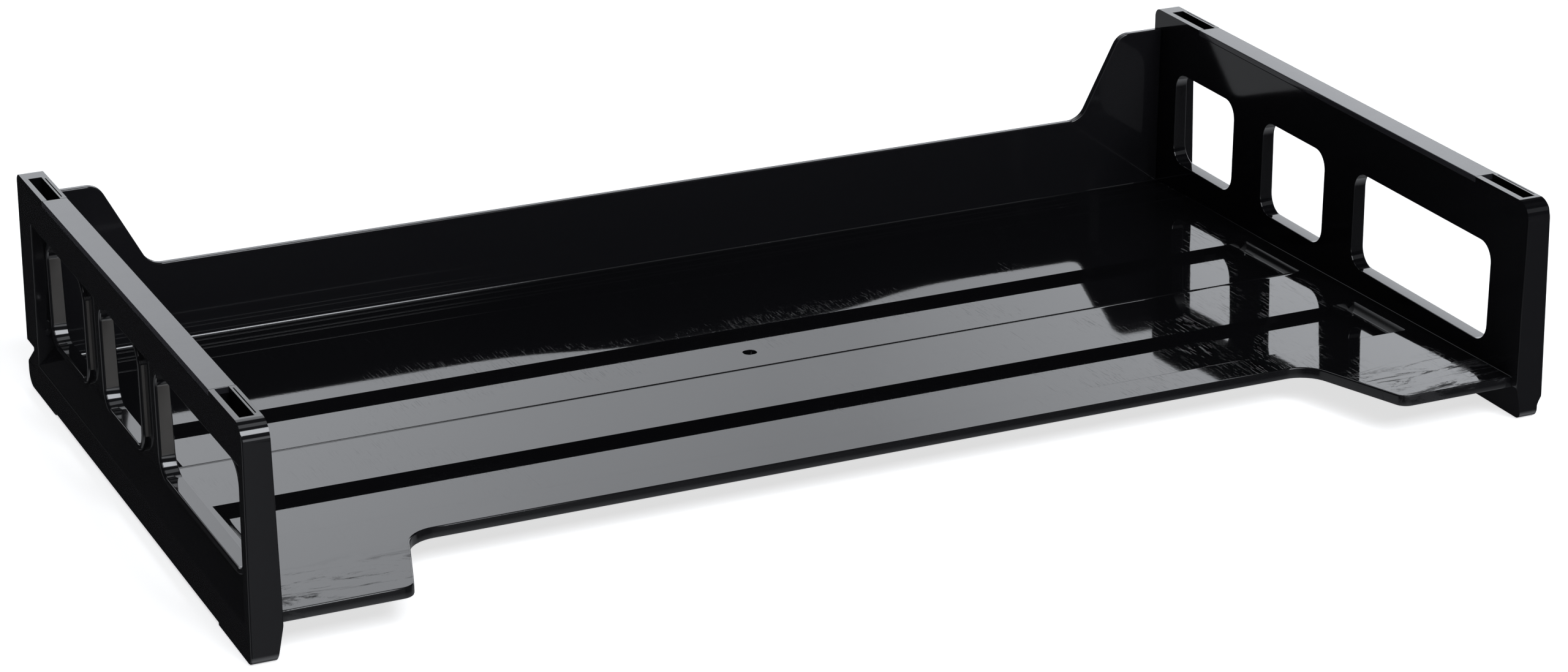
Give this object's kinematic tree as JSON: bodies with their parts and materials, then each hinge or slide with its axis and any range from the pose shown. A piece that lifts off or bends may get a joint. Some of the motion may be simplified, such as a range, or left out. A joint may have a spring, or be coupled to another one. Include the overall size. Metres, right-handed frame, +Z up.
{
  "type": "desk tray",
  "caption": "Low side-loading desk tray for legal-size paper, with windowed side walls, a dipped back wall and corner sockets for stacking.",
  "frame": {"origin": "centre of the footprint, at the height of the feet", "axes": "+X to the right as seen from the open front, +Y towards the back wall, +Z up; the open loading side faces -Y"},
  "size_m": [0.412, 0.2286, 0.07],
  "materials": {
    "black_plastic": "glossy black injection-moulded plastic with fine handling scratches"
  },
  "bodies": {
    "root": {"floor_tray": "black_plastic", "back_wall": "black_plastic", "left_side_wall": "black_plastic", "right_side_wall": "black_plastic", "left_cap_strip": "black_plastic", "right_cap_strip": "black_plastic"}
  },
  "joints": []
}
